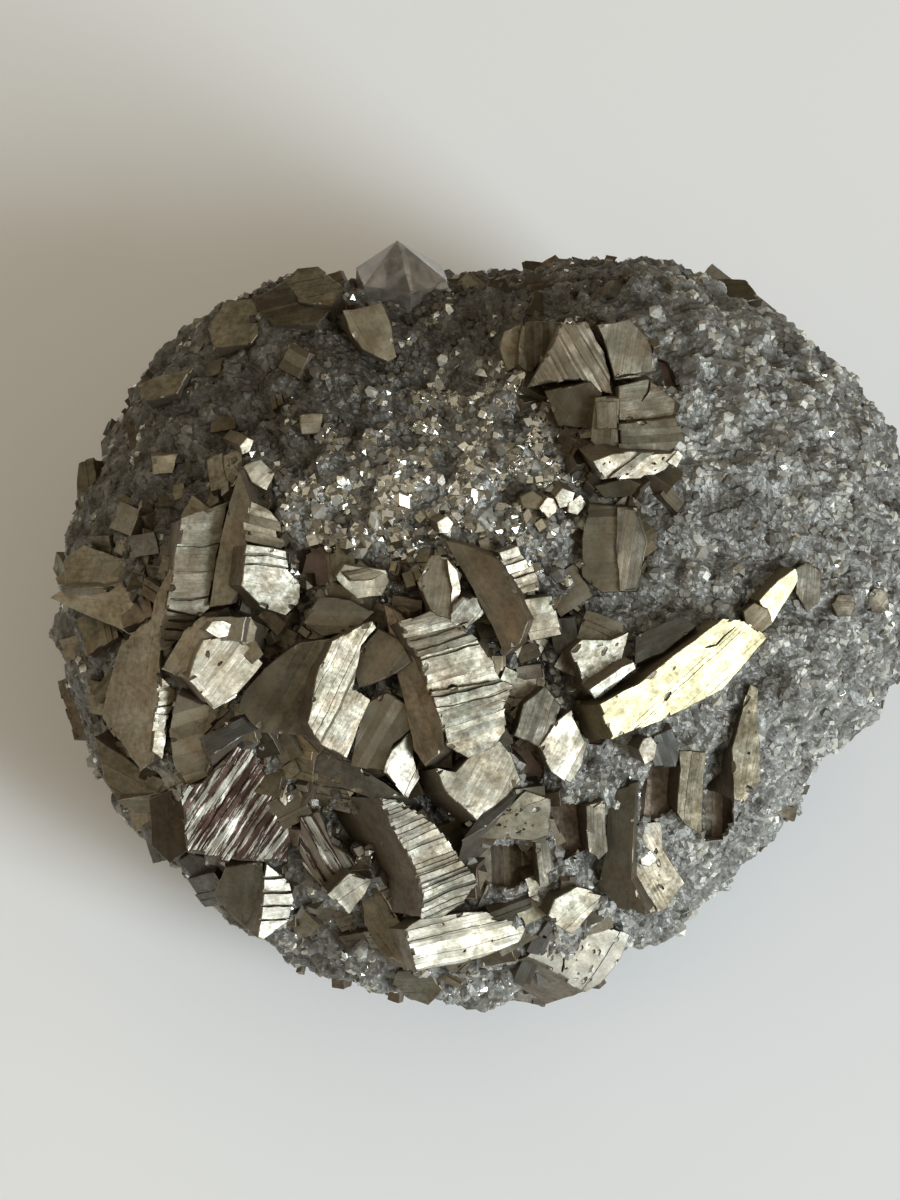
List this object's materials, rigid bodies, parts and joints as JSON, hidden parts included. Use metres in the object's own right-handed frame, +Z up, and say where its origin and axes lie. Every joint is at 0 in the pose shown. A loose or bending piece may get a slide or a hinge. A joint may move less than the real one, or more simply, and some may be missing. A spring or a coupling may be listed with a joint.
{
  "type": "marcasite nodule",
  "caption": "Rounded nodule of bronze-coloured iron sulphide with striated block crystals in a grey granular crust, resting on a small flat spot.",
  "frame": {"origin": "on the flat spot that the nodule rests on, under the middle of its body", "axes": "+X along the nodule's longest extent, to the right of its showing side; +Z up, square to the flat spot, along its shortest extent; -Y towards the side that the crystals lean to"},
  "size_m": [0.072, 0.0642, 0.0503],
  "materials": {
    "marcasite": "metallic pewter to bronze crystals in dull grey granular crust",
    "quartz": "clear to smoky, glassy"
  },
  "bodies": {
    "root": {"nodule": "marcasite", "quartz_point": "quartz"}
  },
  "joints": []
}
